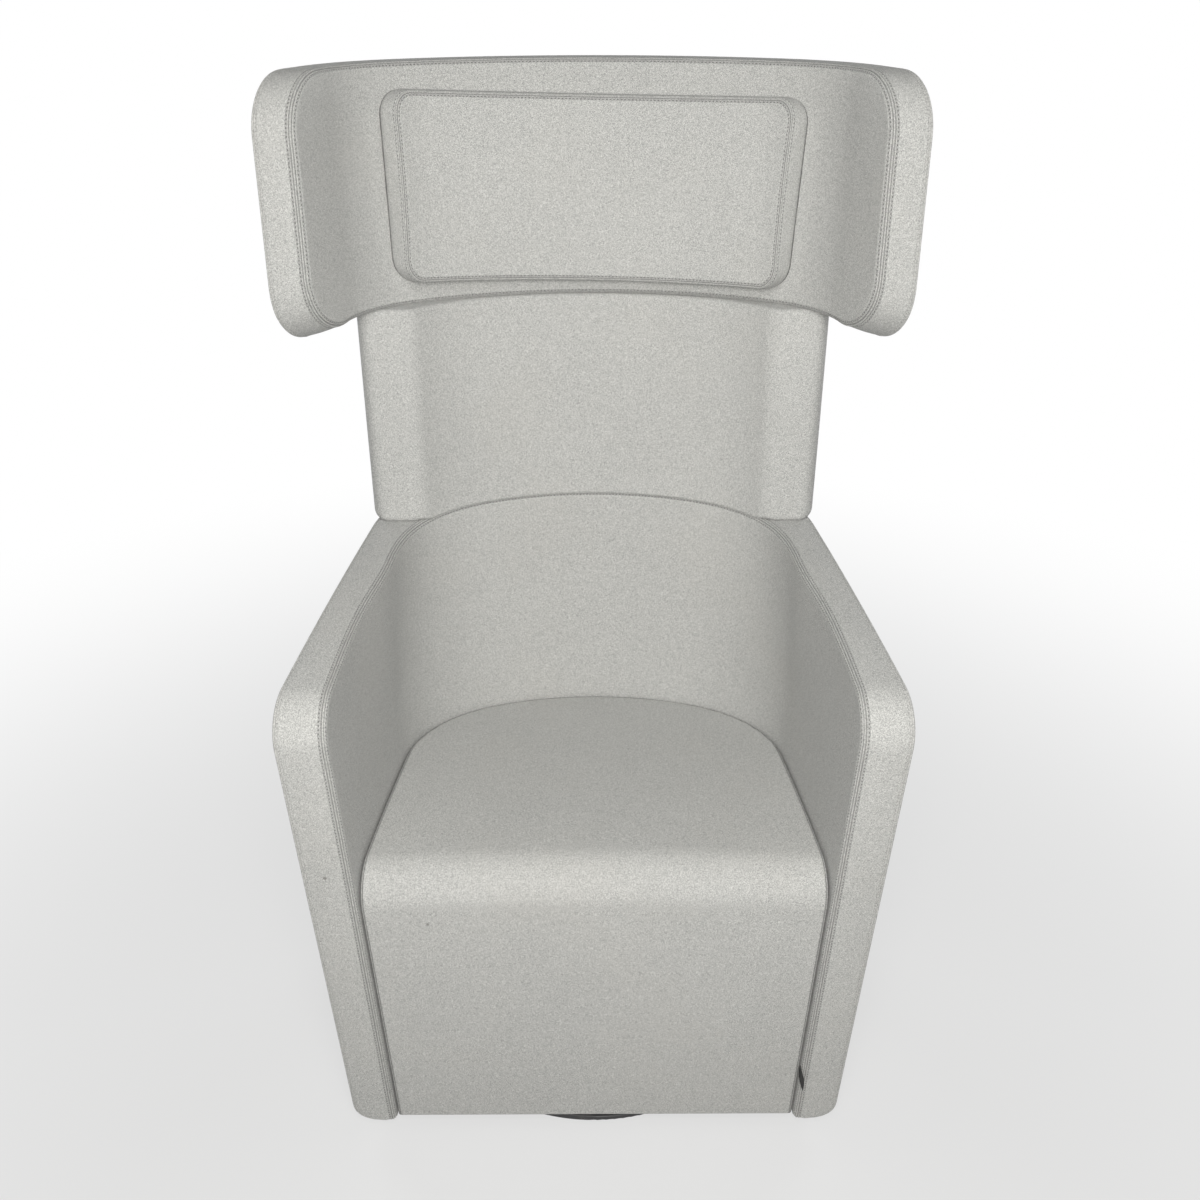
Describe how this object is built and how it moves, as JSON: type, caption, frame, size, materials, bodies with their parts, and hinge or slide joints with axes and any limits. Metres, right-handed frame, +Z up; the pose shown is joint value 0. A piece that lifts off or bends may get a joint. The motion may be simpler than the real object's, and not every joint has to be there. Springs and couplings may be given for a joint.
{
  "type": "lounge chair",
  "caption": "High back lounge chair with wrap-round felt arms, a curved middle back, a winged acoustic head band with a head pad, and a round swivelling floor plate.",
  "frame": {"origin": "on the floor, at the centre of the underside of the glides, on the swivel axis", "axes": "+Z up, +X to the picture's right, -Y towards the front of the chair"},
  "size_m": [0.7446, 0.6149, 1.2675],
  "materials": {
    "grey_felt": "pale grey melange wool felt",
    "foam": "cream cut foam",
    "black_cloth": "black woven or bonded cloth",
    "plywood": "raw birch plywood",
    "dark_steel": "dark powder coat, matt",
    "zinc_steel": "zinc plated",
    "polished_steel": "polished",
    "black_plastic": "matt black"
  },
  "bodies": {
    "base": {"base_plate": "dark_steel", "base_glides": "black_plastic", "swivel_lower_ring": "zinc_steel", "swivel_balls": "polished_steel", "ring_screws": "zinc_steel", "pivot_post": "zinc_steel", "retaining_washer": "zinc_steel", "retaining_nut": "zinc_steel"},
    "chair": {"swivel_upper_ring": "zinc_steel", "ring_bolts": "zinc_steel", "pivot_bush": "black_plastic", "bottom_board": "plywood", "dust_cover": "black_cloth", "side_panel_left": "plywood", "side_panel_right": "plywood", "tub_back_shell": "plywood", "front_board": "plywood", "corner_brackets": "zinc_steel", "seat_cleats": "plywood", "seat_frame": "plywood", "seat_webbing": "black_cloth", "seat_foam": "foam", "seat_cover": "grey_felt", "arm_foam_left": "foam", "arm_foam_right": "foam", "tub_back_foam": "foam", "tub_cover": "grey_felt", "mid_back_shell": "plywood", "mid_back_foam": "foam", "mid_back_cover": "grey_felt", "head_shell": "plywood", "head_foam": "foam", "head_cover": "grey_felt", "pad_board": "plywood", "pad_studs": "zinc_steel", "pad_foam": "foam", "pad_cover": "grey_felt", "spine_bar_left": "dark_steel", "spine_bar_right": "dark_steel", "spine_bolts": "zinc_steel", "spine_nuts": "zinc_steel", "fabric_tag": "black_cloth"}
  },
  "joints": [
    {"name": "seat_swivel", "type": "hinge", "parent": "base", "child": "chair", "pos_m": [0, 0, 0], "axis": [0, 0, 1], "continuous": true}
  ]
}
